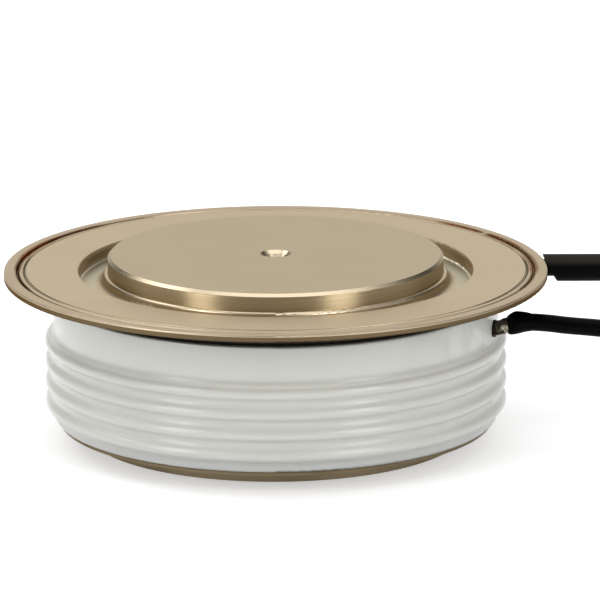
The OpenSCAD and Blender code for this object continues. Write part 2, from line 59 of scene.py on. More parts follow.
# Sizes repeated from the part's source
NECK_R = CREST_R - 2.25 * MM
CHAMFER_MM = 0.55
LID_T_MM = 0.7
FLANGE_T_MM = 0.6
MOAT_DEPTH_MM = 2.6
LEAD_D = 3.2 * MM
LEAD_R = LEAD_D / 2


# Camera: the photograph's viewing angle, from the front and a little above
VIEW_DISTANCE = 1.0
CLIP_END = 20.0
VIEW_ELEVATION = 14.18
VIEW_ROLL = -0.16
FOCAL_LENGTH_MM = 323.6
SENSOR_MM = 36.0
AIM = Vector((4.49 * MM, 0.0, LID_Z - 6.22 * MM))


def make_camera():
    """Camera at the place fitted to the photograph's ellipses."""
    elevation = math.radians(VIEW_ELEVATION)
    roll = math.radians(VIEW_ROLL)
    forward = Vector((0.0, math.cos(elevation), -math.sin(elevation)))
    right = Vector((1.0, 0.0, 0.0))
    up = right.cross(forward)
    rolled_right = math.cos(roll) * right + math.sin(roll) * up
    rolled_up = math.cos(roll) * up - math.sin(roll) * right
    data = bpy.data.cameras.new("camera")
    data.sensor_width = SENSOR_MM
    data.lens = FOCAL_LENGTH_MM
    data.clip_end = CLIP_END
    camera = bpy.data.objects.new("camera", data)
    bpy.context.scene.collection.objects.link(camera)
    turn = Matrix((rolled_right, rolled_up, -forward)).transposed()
    camera.matrix_world = Matrix.Translation(AIM - VIEW_DISTANCE * forward) @ turn.to_4x4()
    bpy.context.scene.camera = camera


# Routes of the leads, as in the part's source
CATHODE_ROUTE = [(x * MM, y * MM, z * MM) for x, y, z in (
    (49.5, 10.8, 29.2), (57, 10.8, 29.2), (61, 10.8, 29.2), (63.7, 10.8, 29.2), (67, 10.9, 28.8),
    (70, 11.2, 27.7), (73, 11.6, 26), (76, 12.1, 23.7), (79, 12.5, 20.9), (82, 12.8, 17.9),
    (85, 13, 14.8), (88, 13, 11.8), (91, 13, 9.2), (94, 13, 7.1), (96, 13, 6), (98, 13, 5),
    (100, 13, 4.5), (102.5, 13, 3.7), (105, 13, 2.8))]
GATE_ROUTE = [(x * MM, y * MM, z * MM) for x, y, z in (
    (44.22, -10.62, 23.72), (46.29, -11.11, 24.28), (50, -12, 24.3), (53, -12.7, 24.1), (56, -13.4, 24),
    (59, -14.1, 23.9), (62, -14.8, 23.7), (65, -15.4, 23.2), (68, -15.9, 22.3), (71, -16.3, 20.9),
    (74, -16.6, 19), (77, -16.8, 16.8), (80, -17, 14.5), (83, -17, 12.2), (86, -17, 10.1),
    (89, -17, 8.3), (92, -17, 6.9), (95, -17, 5.8), (98, -17, 5), (100, -17, 4.5), (102.5, -17, 3.7),
    (105, -17, 2.8))]
COIL_X = 108 * MM
CATHODE_COIL_Y = 30 * MM
GATE_COIL_Y = -34 * MM
COIL_IN_R = 17 * MM
TURN_STEP = 3.5 * MM
COIL_TURNS = 1.5
STEPS_PER_TURN = 16
TAIL_LEN = 24 * MM
TAIL_STEPS = 4
LANDING = 0.5 * MM
TIE_LIFT = 0.5 * MM
TIE_SPREAD = math.radians(22)


def coil_height(angle):
    """Height of the lead's centre line on the coil, which rises over the tie at angle 0."""
    off = math.remainder(angle, 2 * math.pi)
    return LEAD_R + TIE_LIFT * math.exp(-((off / TIE_SPREAD) ** 2))


def coil_and_tail(centre_y, side):
    """Points of the coil from its inner start to the tail's end. side is 1 for +Y and -1 for -Y."""
    points = []
    for i in range(int(COIL_TURNS * STEPS_PER_TURN) + 1):
        turns = i / STEPS_PER_TURN
        angle = -math.pi / 2 + 2 * math.pi * turns
        radius = COIL_IN_R + TURN_STEP * turns
        height = coil_height(angle) + LANDING * max(0.0, 1.0 - i / 2)
        points.append((COIL_X + radius * math.cos(angle), centre_y + side * radius * math.sin(angle), height))
    tail_y = points[-1][1]
    for i in range(1, TAIL_STEPS + 1):
        points.append((COIL_X - TAIL_LEN * i / TAIL_STEPS, tail_y, LEAD_R))
    return points


def smooth_path(points, steps=5):
    """Catmull-Rom curve through the points, with steps short pieces between two of them."""
    knots = [Vector(point) for point in points]
    knots = [2 * knots[0] - knots[1], *knots, 2 * knots[-1] - knots[-2]]
    path = []
    for before, start, end, after in zip(knots, knots[1:], knots[2:], knots[3:]):
        for i in range(steps):
            t = i / steps
            bend = (2 * before - 5 * start + 4 * end - after) * t ** 2
            twist = (3 * start - before - 3 * end + after) * t ** 3
            path.append(0.5 * (2 * start + (end - before) * t + bend + twist))
    path.append(Vector(points[-1]))
    return path


TUBE_SIDES = 24


def swept_tube(name, path, radius):
    """Round tube along the path, closed at both ends."""
    def build(work):
        rings = []
        side = Vector((0.0, 0.0, 1.0))
        for i, point in enumerate(path):
            along = (path[min(i + 1, len(path) - 1)] - path[max(i - 1, 0)]).normalized()
            side = (side - side.dot(along) * along).normalized()
            across = along.cross(side)
            rings.append([work.verts.new(point + radius * (math.cos(turn) * side + math.sin(turn) * across))
                          for turn in (2 * math.pi * k / TUBE_SIDES for k in range(TUBE_SIDES))])
        for first, second in zip(rings, rings[1:]):
            bridge(work, first, second)
        for ring in (rings[0], rings[-1]):
            work.faces.new(ring)

    return mesh_object(name, build)


def mesh_object(name, mesh_maker, smooth_angle=35.0):
    """Object of the mesh that mesh_maker fills, shaded smooth where faces meet at less than smooth_angle."""
    mesh = bpy.data.meshes.new(name)
    work = bmesh.new()
    mesh_maker(work)
    bmesh.ops.recalc_face_normals(work, faces=work.faces)
    work.to_mesh(mesh)
    work.free()
    made = bpy.data.objects.new(name, mesh)
    bpy.context.scene.collection.objects.link(made)
    shade_smooth(made, smooth_angle)
    return made


def shade_smooth(made, smooth_angle):
    """Smooth shading, with sharp edges where faces meet at smooth_angle or more, in degrees."""
    mesh = made.data
    mesh.polygons.foreach_set("use_smooth", [True] * len(mesh.polygons))
    mesh.set_sharp_from_angle(angle=math.radians(smooth_angle))


# Coil ties: a narrow nylon band round the turns, with its head on top
TIE_W = 2.4 * MM
TIE_T = 0.5 * MM
TIE_CORNER = 1.2 * MM
TIE_HEAD = (3.6 * MM, 4.0 * MM, 2.2 * MM)
TIE_TAIL = (5.0 * MM, TIE_W * 0.9, TIE_T * 1.4)
TIE_TAIL_OVERLAP = 0.4 * MM
TIE_TAIL_LEVEL = 0.55
TIE_HEAD_ROUND = 0.5 * MM
TIE_TAIL_ROUND = 0.2 * MM
TIE_CLEARANCE = 0.02 * MM


def rounded_box_loop(low_x, high_x, low_z, high_z, corner, steps=6):
    """Points round a rectangle with round corners, in the XZ plane."""
    low_x, low_z = low_x + corner, low_z + corner
    high_x, high_z = high_x - corner, high_z - corner
    centres = ((high_x, high_z), (low_x, high_z), (low_x, low_z), (high_x, low_z))
    loop = []
    for quarter, (centre_x, centre_z) in enumerate(centres):
        for i in range(steps + 1):
            angle = math.pi / 2 * (quarter + i / steps)
            loop.append((centre_x + corner * math.cos(angle), centre_z + corner * math.sin(angle)))
    return loop


def add_ring(work, loop, y):
    """Vertices of the loop of (x, z) points at that y."""
    return [work.verts.new((x, y, z)) for x, z in loop]


def bridge(work, first, second):
    """Faces between two closed rings of as many vertices."""
    count = len(first)
    for i in range(count):
        j = (i + 1) % count
        work.faces.new((first[i], first[j], second[j], second[i]))


def add_block(work, size, centre, corner, segments):
    """Block with edges rounded to the radius corner, in that many segments."""
    matrix = Matrix.Translation(centre) @ Matrix.Diagonal((*size, 1.0))
    block = bmesh.ops.create_cube(work, size=1.0, matrix=matrix)
    edges = list({edge for vert in block["verts"] for edge in vert.link_edges})
    bmesh.ops.bevel(work, geom=edges, offset=corner, segments=segments, affect="EDGES", profile=0.5)


def make_tie(name, centre_y):
    """Band round the two turns at angle 0, which are 0.25 and 1.25 turns after the coil's start."""
    inner_r = COIL_IN_R + TURN_STEP * 0.25
    outer_r = COIL_IN_R + TURN_STEP * 1.25
    low_x = COIL_X + inner_r - LEAD_R
    high_x = COIL_X + outer_r + LEAD_R
    top = LEAD_D + TIE_LIFT

    def build(work):
        inner = rounded_box_loop(low_x, high_x, TIE_LIFT, top, TIE_CORNER)
        outer = rounded_box_loop(low_x - TIE_T, high_x + TIE_T, TIE_LIFT - TIE_T + TIE_CLEARANCE, top + TIE_T,
                                 TIE_CORNER + TIE_T)
        rings = [add_ring(work, loop, centre_y + side * TIE_W / 2)
                 for side in (-1, 1) for loop in (inner, outer)]
        inner_front, outer_front, inner_back, outer_back = rings
        bridge(work, inner_front, outer_front)
        bridge(work, outer_front, outer_back)
        bridge(work, outer_back, inner_back)
        bridge(work, inner_back, inner_front)
        head_x = (low_x + high_x) / 2
        tail_x = head_x + TIE_HEAD[0] / 2 + TIE_TAIL[0] / 2 - TIE_TAIL_OVERLAP
        base_z = top + TIE_T / 2
        tail_z = base_z + TIE_HEAD[2] * TIE_TAIL_LEVEL
        add_block(work, TIE_HEAD, (head_x, centre_y, base_z + TIE_HEAD[2] / 2), TIE_HEAD_ROUND, 3)
        add_block(work, TIE_TAIL, (tail_x, centre_y, tail_z), TIE_TAIL_ROUND, 2)

    return mesh_object(name, build)


def revolved(name, profile_at, steps, smooth_angle=35.0):
    """Ring round the capsule's axis. profile_at(angle) is its closed section, as (radius, height) points."""
    def build(work):
        rings = []
        for i in range(steps):
            angle = 2 * math.pi * i / steps
            rings.append([work.verts.new((radius * math.cos(angle), radius * math.sin(angle), height))
                          for radius, height in profile_at(angle)])
        for i in range(steps):
            bridge(work, rings[i], rings[(i + 1) % steps])

    return mesh_object(name, build, smooth_angle)


# Weld seam between the lid and the rim
SEAM_GAP = 0.2 * MM
SEAM_R = LID_R + SEAM_GAP
SEAM_HALF_W = 0.24 * MM
SEAM_DEPTH = 0.3 * MM
SEAM_STEPS = 1080
# Waves along the seam: height in millimetres, how many go round, and where they start
SEAM_WAVES = ((0.035, 260, 0.0), (0.03, 97, 1.0), (0.04, 23, 2.0))
# Section of the bead: places across it in half widths, and heights below its crown in millimetres
SEAM_SECTION = ((-1.0, -0.16), (-0.6, -0.05), (0.0, 0.0), (0.6, -0.05), (1.0, -0.16), (1.0, -0.34),
                (-1.0, -0.34))
NICK_ANGLE = math.radians(34.4)
NICK_SPREAD = math.radians(0.9)
NICK_H_MM = 0.28


def seam_profile(angle):
    """Section of the weld bead, whose height ripples along the seam and rises in one small nick."""
    ripple = sum(height * math.sin(count * angle + start) for height, count, start in SEAM_WAVES)
    nick = NICK_H_MM * math.exp(-(((angle - NICK_ANGLE) / NICK_SPREAD) ** 2))
    top = LID_Z - SEAM_DEPTH + (ripple + nick) * MM
    return [(SEAM_R + across * SEAM_HALF_W, top + down * MM) for across, down in SEAM_SECTION]


# Braze fillets at the ceramic's ends
BRAZE_SIZE = 0.45 * MM
BRAZE_SUNK = 0.05 * MM
BRAZE_STEPS = 180
BRAZE_ARC_STEPS = 4


def fillet_profile(corner_r, corner_z, up):
    """Hollow fillet of brazing metal in the corner between a wall and a flat face. up is 1 or -1."""
    wall_r = corner_r - BRAZE_SUNK
    points = [(wall_r, corner_z - up * BRAZE_SUNK), (wall_r, corner_z + up * BRAZE_SIZE)]
    for i in range(BRAZE_ARC_STEPS + 1):
        turn = math.pi / 2 * i / BRAZE_ARC_STEPS
        points.append((corner_r + BRAZE_SIZE * (1 - math.cos(turn)),
                       corner_z + up * BRAZE_SIZE * (1 - math.sin(turn))))
    points.append((corner_r + BRAZE_SIZE, corner_z - up * BRAZE_SUNK))
    return points


def make_rings():
    """The weld seam on top and the braze fillets at both ends of the ceramic."""
    seam = revolved("weld_seam", seam_profile, SEAM_STEPS)
    top = revolved("upper_braze", lambda angle: fillet_profile(NECK_R, CERAMIC_TOP, 1), BRAZE_STEPS)
    low = revolved("lower_braze", lambda angle: fillet_profile(FOOT_R, CERAMIC_BOTTOM, -1), BRAZE_STEPS)
    for piece, slot in ((seam, "rim_plate"), (top, "solder"), (low, "solder")):
        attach(piece, "root")
    return {"seam": seam, "braze": (top, low)}


# Gate lead's end: stations along X with the centre's height, half height and half depth, all in millimetres
BOOT_STATIONS = (
    (42.2, 23.75, 0.6, 0.5), (42.28, 23.68, 1.05, 0.9), (42.5, 23.62, 1.5, 1.3), (42.9, 23.62, 1.92, 1.6),
    (43.5, 23.88, 2.14, 1.85), (44.2, 24.08, 2.16, 1.98), (44.85, 24.18, 2.06, 2.0),
    (45.6, 24.28, 1.92, 1.92), (46.3, 24.34, 1.76, 1.8), (46.9, 24.3, 1.66, 1.7), (47.1, 24.28, 1.6, 1.62),
    (47.12, 24.26, 1.3, 1.3))
SOLDER_STATIONS = (
    (39.2, 22.75, 1.1, 1.1), (39.95, 22.8, 1.24, 1.24), (40.3, 22.9, 1.3, 1.3), (40.7, 23.0, 1.22, 1.28),
    (41.15, 23.12, 1.3, 1.34), (41.6, 23.26, 1.42, 1.42), (42.0, 23.36, 1.36, 1.4), (42.5, 23.45, 1.46, 1.42),
    (43.1, 23.6, 1.4, 1.3))
STATION_SIDES = 28
BOOT_LUMPS = 0.012
SOLDER_LUMPS = 0.07


def station_y(x):
    """Y of the gate lead's centre line over its sloping end."""
    first, second = GATE_ROUTE[0], GATE_ROUTE[1]
    return first[1] + (x - first[0]) * (second[1] - first[1]) / (second[0] - first[0])


def lofted(name, stations, lumps):
    """Closed skin through upright sections that follow the gate lead; lumps is how uneven it is."""
    def build(work):
        rings = []
        for x, centre_z, half_high, half_deep in stations:
            ring = []
            for i in range(STATION_SIDES):
                turn = 2 * math.pi * i / STATION_SIDES
                uneven = 1 + lumps * (math.sin(2 * turn + 3.1 * x) + 0.7 * math.sin(3 * turn - 5.3 * x))
                y = station_y(x * MM) + half_deep * uneven * MM * math.cos(turn)
                z = (centre_z + half_high * uneven * math.sin(turn)) * MM
                ring.append(work.verts.new((x * MM, y, z)))
            rings.append(ring)
        for first, second in zip(rings, rings[1:]):
            bridge(work, first, second)
        for ring in (rings[0], rings[-1]):
            work.faces.new(ring)

    made = mesh_object(name, build, 60.0)
    smoother = made.modifiers.new("smoother", "SUBSURF")
    smoother.levels = smoother.render_levels = 2
    return made


def make_gate_end():
    """The black boot over the gate lead's joint and the uneven solder on the tube."""
    boot = lofted("gate_boot", BOOT_STATIONS, BOOT_LUMPS)
    solder = lofted("gate_solder", SOLDER_STATIONS, SOLDER_LUMPS)
    finishes = ((boot, "black_sleeve", "gate_lead_boot"), (solder, "solder", "gate_lead_joint"))
    for piece, slot, node in finishes:
        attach(piece, "root")
        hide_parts(node)
    return boot, solder


def make_cords():
    """The two free leads with their coils and ties."""
    cathode_path = smooth_path(CATHODE_ROUTE + coil_and_tail(CATHODE_COIL_Y, 1))
    gate_path = smooth_path(GATE_ROUTE + coil_and_tail(GATE_COIL_Y, -1))
    cathode = swept_tube("cathode_lead_cord", cathode_path, LEAD_R)
    gate = swept_tube("gate_lead_cord", gate_path, LEAD_R)
    cathode_tie = make_tie("cathode_lead_tie", CATHODE_COIL_Y)
    gate_tie = make_tie("gate_lead_tie", GATE_COIL_Y)
    for piece, slot in ((cathode, "black_sleeve"), (gate, "black_sleeve"), (cathode_tie, "fluoropolymer"),
                        (gate_tie, "fluoropolymer")):
        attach(piece, "root")
    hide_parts("cathode_lead", "cathode_lead_coil")
    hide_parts("gate_lead", "gate_lead_coil")
    return {"cords": (cathode, gate), "ties": (cathode_tie, gate_tie)}


def scaled(colour, factor):
    """The colour made lighter or darker."""
    return tuple(factor * channel for channel in colour)


class Graph:
    """Short calls that add nodes to one material, or to the world."""

    def __init__(self, name, world=False):
        self.material = (bpy.data.worlds if world else bpy.data.materials).new(name)
        self.material.use_nodes = True
        self.tree = self.material.node_tree
        self.shader = self.tree.nodes["Background" if world else "Principled BSDF"]

    def node(self, kind, **settings):
        made = self.tree.nodes.new(kind)
        for key, value in settings.items():
            setattr(made, key, value)
        return made

    def feed(self, socket, value):
        """Links another node's output to the socket, or sets its value."""
        if isinstance(value, bpy.types.NodeSocket):
            self.tree.links.new(value, socket)
        elif isinstance(value, tuple) and len(value) == 3 and socket.type == "RGBA":
            socket.default_value = (*value, 1.0)
        else:
            socket.default_value = value

    def set(self, **values):
        """Sets or links the shader's own sockets; base_color stands for Base Color and so on."""
        for key, value in values.items():
            self.feed(self.shader.inputs[key.replace("_", " ").title().replace("Ior", "IOR")], value)

    def math(self, operation, first, second=0.0, clamp=False):
        made = self.node("ShaderNodeMath", operation=operation, use_clamp=clamp)
        for socket, value in zip(made.inputs, (first, second)):
            self.feed(socket, value)
        return made.outputs[0]

    def place(self):
        """The point in the part's own frame, in metres."""
        return self.node("ShaderNodeTexCoord").outputs["Object"]

    def split(self, vector):
        made = self.node("ShaderNodeSeparateXYZ")
        self.feed(made.inputs[0], vector)
        return made.outputs

    def join(self, x, y, z):
        made = self.node("ShaderNodeCombineXYZ")
        for socket, value in zip(made.inputs, (x, y, z)):
            self.feed(socket, value)
        return made.outputs[0]

    def noise(self, vector, scale, detail=2.0, roughness=0.5):
        made = self.node("ShaderNodeTexNoise")
        self.feed(made.inputs["Vector"], vector)
        self.feed(made.inputs["Scale"], scale)
        self.feed(made.inputs["Detail"], detail)
        self.feed(made.inputs["Roughness"], roughness)
        return made.outputs[0]

    def remap(self, value, low, high, to_low=0.0, to_high=1.0, smooth=True):
        """Goes from to_low to to_high as value goes from low to high, and stays level outside."""
        made = self.node("ShaderNodeMapRange", interpolation_type="SMOOTHSTEP" if smooth else "LINEAR")
        for socket, amount in zip(made.inputs, (value, low, high, to_low, to_high)):
            self.feed(socket, amount)
        return made.outputs[0]

    def window(self, value, low, high, soft):
        """1 where value lies between low and high, and 0 outside, with soft ends."""
        return self.math("MULTIPLY", self.remap(value, low - soft, low + soft),
                         self.remap(value, high - soft, high + soft, 1.0, 0.0))

    def mix(self, factor, first, second):
        """Colour that goes from first to second as factor goes from 0 to 1."""
        made = self.node("ShaderNodeMix", data_type="RGBA")
        self.feed(made.inputs[0], factor)
        self.feed(made.inputs[6], first)
        self.feed(made.inputs[7], second)
        return made.outputs[2]

    def bump(self, height, distance, strength):
        """Normal of a surface that stands distance proud where height is 1."""
        made = self.node("ShaderNodeBump")
        self.feed(made.inputs["Strength"], strength)
        self.feed(made.inputs["Distance"], distance)
        self.feed(made.inputs["Height"], height)
        return made.outputs[0]

    def polar(self):
        """Radius from the capsule's axis in millimetres, the cosine and sine of the turn, and the height."""
        x, y, z = self.split(self.place())
        radius = self.math("SQRT", self.math("ADD", self.math("MULTIPLY", x, x), self.math("MULTIPLY", y, y)))
        safe = self.math("MAXIMUM", radius, 1e-5)
        radius_mm = self.math("MULTIPLY", radius, 1 / MM)
        height_mm = self.math("MULTIPLY", z, 1 / MM)
        return radius_mm, self.math("DIVIDE", x, safe), self.math("DIVIDE", y, safe), height_mm

    def turned(self, radius, cosine, sine, height, pitch, along):
        """Streaks that run round the axis: pitch is how many lie side by side in a millimetre."""
        vector = self.join(self.math("MULTIPLY", self.math("ADD", radius, height), pitch),
                           self.math("MULTIPLY", cosine, along), self.math("MULTIPLY", sine, along))
        return self.noise(vector, 1.0, 3.0, 0.6)


# Places on the capsule that the materials use: heights, and radii from its axis
TOP_Z_MM = CAPSULE_H / MM
POLE_R_MM = POLE_R / MM
LID_Z_MM = LID_Z / MM
MOAT_Z_MM = LID_Z_MM - MOAT_DEPTH_MM
MOAT_R_MM = POLE_R_MM + 5.5
SEAM_R_MM = SEAM_R / MM
RIM_LOW_Z_MM = LID_Z_MM - LID_T_MM - FLANGE_T_MM
NECK_R_MM = NECK_R / MM
CREST_R_MM = CREST_R / MM
CERAMIC_BOTTOM_MM = CERAMIC_BOTTOM / MM
CERAMIC_TOP_MM = CERAMIC_TOP / MM
BAND_Z_MM = CERAMIC_TOP_MM - 6.3

# A material's zone is a span of heights or radii, in millimetres, over which a finish comes in or fades out.

# How the nickel's colour changes at a glancing view: EDGE_TINT where it is clean, and DARK_EDGE_TINT where it
# is tarnished and where a dark reflection is painted
EDGE_TINT = (0.81, 0.77, 0.68)
DARK_EDGE_TINT = (0.52, 0.42, 0.36)

# Heat tint beside the weld seam: the side of the capsule, where it starts and ends in degrees towards the
# back, its half width in millimetres, how strong it is and its colour
LEFT, RIGHT = -1, 1
HEAT_TINTS = (
    (LEFT, -20, 2, 0.5, 0.9, (0.07, 0.05, 0.02)),
    (LEFT, -2, 12, 0.7, 1.0, (0.075, 0.028, 0.009)),
    (LEFT, 9, 28, 1.0, 1.0, (0.16, 0.045, 0.010)),
    (LEFT, 25, 46, 0.9, 1.0, (0.10, 0.045, 0.015)),
    (LEFT, 43, 60, 0.55, 0.85, (0.17, 0.105, 0.05)),
    (RIGHT, 47, 62, 0.45, 0.6, (0.25, 0.15, 0.08)),
    (RIGHT, 35, 49, 0.85, 1.0, (0.19, 0.068, 0.02)),
    (RIGHT, 17, 34, 1.05, 1.0, (0.155, 0.054, 0.014)),
    (RIGHT, 10, 18, 0.8, 0.9, (0.11, 0.07, 0.03)),
    (RIGHT, -5, 12, 1.0, 0.9, (0.20, 0.095, 0.045)),
    (RIGHT, -20, -4, 0.6, 0.8, (0.12, 0.085, 0.045)))
TINT_FADE_DEG = 3.0
NICK_DEG = math.degrees(NICK_ANGLE)
NICK_HALF_DEG = 0.7
NICK_FADE_DEG = 0.3
# Painted shade in the groove inside the lid's bead: the side, and where each starts and ends
GROOVE_PAINTED_SHADES = ((LEFT, -34, 11), (RIGHT, -38, 9))
GROOVE_SHADE_COLOUR = (0.05, 0.034, 0.016)
GROOVE_SHADE_STRENGTH = 0.95
GROOVE_SHADE_FADE_DEG = 5.0
GROOVE_R_ZONE = (46.35, 46.8)


def heat_tinted(g, base, radius, cosine, sine):
    """Lays the weld's heat tint and the painted shade in the groove over base. Returns the new colour and how
    much of it is tint."""
    mottle = g.remap(g.noise(g.place(), 1500.0, 3.0, 0.6), 0.3, 0.6, 0.7, 1.0)
    beside = g.math("ABSOLUTE", g.math("SUBTRACT", radius, SEAM_R_MM))
    angles = {}
    for side in (LEFT, RIGHT):
        turn = g.math("ARCTAN2", sine, g.math("MULTIPLY", cosine, float(side)))
        angles[side] = g.math("MULTIPLY", turn, math.degrees(1.0))
    nick = g.window(angles[RIGHT], NICK_DEG - NICK_HALF_DEG, NICK_DEG + NICK_HALF_DEG, NICK_FADE_DEG)
    mottle = g.math("MULTIPLY", mottle, g.math("SUBTRACT", 1.0, nick))
    tint_and_shade = 0.0
    for side, low, high, half_w, strength, colour in HEAT_TINTS:
        near = g.remap(beside, 0.3 * half_w, 1.3 * half_w, 1.0, 0.0)
        here = g.math("MULTIPLY", g.window(angles[side], low, high, TINT_FADE_DEG), near)
        here = g.math("MULTIPLY", g.math("MULTIPLY", here, mottle), strength)
        base = g.mix(here, base, colour)
        tint_and_shade = g.math("MAXIMUM", tint_and_shade, here)
    in_groove = g.window(radius, *GROOVE_R_ZONE, 0.1)
    # Painted shade: the groove is darkened on the left and on the right
    for side, low, high in GROOVE_PAINTED_SHADES:
        here = g.math("MULTIPLY", g.window(angles[side], low, high, GROOVE_SHADE_FADE_DEG), in_groove)
        base = g.mix(g.math("MULTIPLY", here, GROOVE_SHADE_STRENGTH), base, GROOVE_SHADE_COLOUR)
    return base, tint_and_shade


def nickel_base(g, polar, colour, tint):
    """Colour of nickel plate with faint streaks round the axis and faint stains, and the streaks."""
    streaks = g.turned(*polar, 5.0, 2.5)
    stains = g.noise(g.place(), 60.0, 4.0, 0.6)
    base = g.mix(g.remap(stains, 0.42, 0.7), colour, tint)
    return g.mix(g.math("MULTIPLY", g.remap(streaks, 0.45, 0.75), 0.04), base, scaled(tint, 0.72)), streaks


# Weld flange: the zones of painted dark reflection on its side, and of painted shade on its underside and
# neck
RIM_SIDE_Z_ZONE = (LID_Z_MM - 0.42, LID_Z_MM - 0.28)
RIM_SIDE_PAINTED_REFLECTION = (0.135, 0.098, 0.052)
RIM_UNDER_Z_ZONE = (RIM_LOW_Z_MM + 0.02, RIM_LOW_Z_MM + 0.3)
RIM_UNDER_SHADE = 0.16
NECK_R_ZONE = (NECK_R_MM + 0.9, NECK_R_MM + 3.4)
NECK_PAINTED_SHADOW = (0.024, 0.015, 0.009)


def rim_painted_shade(g, base, tint_and_shade, colour, radius, height):
    """Paints a dark reflection on the weld flange's side and shade on its underside and neck. Returns the
    colour and how much of it is tint and painted shade.
    """
    # Painted dark reflection on the flange's side
    side = g.remap(height, *RIM_SIDE_Z_ZONE, 1.0, 0.0)
    base = g.mix(side, base, RIM_SIDE_PAINTED_REFLECTION)
    tint_and_shade = g.math("MAXIMUM", tint_and_shade, side)
    # Painted shade on the underside, and a painted shadow on the neck
    under = g.remap(height, *RIM_UNDER_Z_ZONE, 1.0, 0.0)
    base = g.mix(under, base, scaled(colour, RIM_UNDER_SHADE))
    neck = g.math("MULTIPLY", under, g.remap(radius, *NECK_R_ZONE, 1.0, 0.0))
    return g.mix(neck, base, NECK_PAINTED_SHADOW), tint_and_shade


# The lid's moat: painted light on its floor, and painted shade darkening its outer wall's reflection
MOAT_WALL_R_ZONE = (MOAT_R_MM - 0.25, MOAT_R_MM + 0.5)
MOAT_WALL_Z_ZONE = (MOAT_Z_MM + 0.3, LID_Z_MM - 0.3)
MOAT_WALL_PAINTED_SHADE = 0.6
MOAT_FLOOR_Z_ZONE = (MOAT_Z_MM + 0.12, MOAT_Z_MM + 0.3)
MOAT_FLOOR_R_ZONE = (POLE_R_MM + 1.8, POLE_R_MM + 2.6)
MOAT_FLOOR_PAINTED_LIGHT = (0.60, 0.555, 0.43)


def moat_painted_light_and_shade(g, base, tint_and_shade, radius, height):
    """Paints light on the moat's floor and shade on its outer wall's reflection. Returns the colour and how
    much of it is tint and painted shade.
    """
    # Painted shade: the outer wall's reflection is darkened through its glancing tint
    on_wall = g.math("MULTIPLY", g.window(radius, *MOAT_WALL_R_ZONE, 0.1),
                     g.window(height, *MOAT_WALL_Z_ZONE, 0.15))
    tint_and_shade = g.math("MAXIMUM", tint_and_shade, g.math("MULTIPLY", on_wall, MOAT_WALL_PAINTED_SHADE))
    # Painted light: the moat's floor is made paler
    on_floor = g.math("MULTIPLY", g.remap(height, *MOAT_FLOOR_Z_ZONE, 1.0, 0.0),
                      g.remap(radius, *MOAT_FLOOR_R_ZONE))
    return g.mix(on_floor, base, MOAT_FLOOR_PAINTED_LIGHT), tint_and_shade


# The moat's smoother parts: the collar's top beside the pole piece, and the outer wall, up to its foot
COLLAR_R_ZONE = (POLE_R_MM + 1.0, POLE_R_MM + 1.5)
COLLAR_ROUGHNESS = 0.3
OUTER_WALL_R_ZONE = (POLE_R_MM + 3.6, POLE_R_MM + 4.6)
OUTER_WALL_ROUGHNESS = 0.2
MOAT_FOOT_Z_ZONE = (MOAT_Z_MM + 0.6, MOAT_Z_MM + 1.0)
# Where the lid is satin again: its flat, and the upper edge of the outer wall
LID_FLAT_R_ZONE = (MOAT_R_MM, MOAT_R_MM + 1.0)
LID_EDGE_R_ZONE = (MOAT_R_MM - 1.0, MOAT_R_MM - 0.5)
LID_EDGE_Z_ZONE = (LID_Z_MM - 0.9, LID_Z_MM - 0.6)


def moat_roughness(g, rough, roughness, radius, height):
    """rough on the flat of the lid, and in the moat the smoother collar top and outer wall."""
    at_edge = g.math("MULTIPLY", g.remap(height, *LID_EDGE_Z_ZONE), g.remap(radius, *LID_EDGE_R_ZONE))
    satin = g.math("MAXIMUM", g.remap(radius, *LID_FLAT_R_ZONE), at_edge)
    collar = g.remap(radius, *COLLAR_R_ZONE, COLLAR_ROUGHNESS, roughness)
    outer = g.remap(radius, *OUTER_WALL_R_ZONE, roughness, OUTER_WALL_ROUGHNESS)
    foot = g.remap(height, *MOAT_FOOT_Z_ZONE, roughness, 0.0)
    moat = g.math("MAXIMUM", g.math("MINIMUM", collar, outer), foot)
    return g.math("ADD", g.math("MULTIPLY", satin, g.math("SUBTRACT", rough, moat)), moat)


def nickel_material(name, colour, tint, roughness, seam=False, rim=False, moat=False):
    """Satin nickel plate. seam adds the weld's heat tint and a painted shade in a groove, rim the weld
    flange's painted dark reflection and painted shade, and moat the lid's pressed moat with its painted light
    and shade."""
    g = Graph(name)
    polar = radius, cosine, sine, height = g.polar()
    base, streaks = nickel_base(g, polar, colour, tint)
    rough = g.remap(streaks, 0.3, 0.7, roughness - 0.02, roughness + 0.03)
    tint_and_shade = 0.0
    if seam:
        base, tint_and_shade = heat_tinted(g, base, radius, cosine, sine)
    if rim:
        base, tint_and_shade = rim_painted_shade(g, base, tint_and_shade, colour, radius, height)
    if moat:
        base, tint_and_shade = moat_painted_light_and_shade(g, base, tint_and_shade, radius, height)
        rough = moat_roughness(g, rough, roughness, radius, height)
    # The glancing tint follows both the heat tint and the painted shade
    if seam or rim or moat:
        g.set(specular_tint=g.mix(tint_and_shade, EDGE_TINT, DARK_EDGE_TINT))
    else:
        g.set(specular_tint=EDGE_TINT)
    g.set(base_color=base, metallic=1.0, roughness=rough)
    return g.material


# Pole piece: its contact face, chamfer and wall, and the sunk edge of the locating hole
FACE_Z_ZONE = (TOP_Z_MM - 0.03, TOP_Z_MM - 0.01)
CHAMFER_FOOT_Z_ZONE = (TOP_Z_MM - CHAMFER_MM - 0.1, TOP_Z_MM - CHAMFER_MM)
CHAMFER_ROUGHNESS = 0.22
POLE_WALL_R_ZONE = (POLE_R_MM - 1.0, POLE_R_MM - 0.6)
POLE_WALL_WEAR = 0.8
SINK_R_ZONE = (3.0, 3.4)
SINK_ROUGHNESS = 0.2


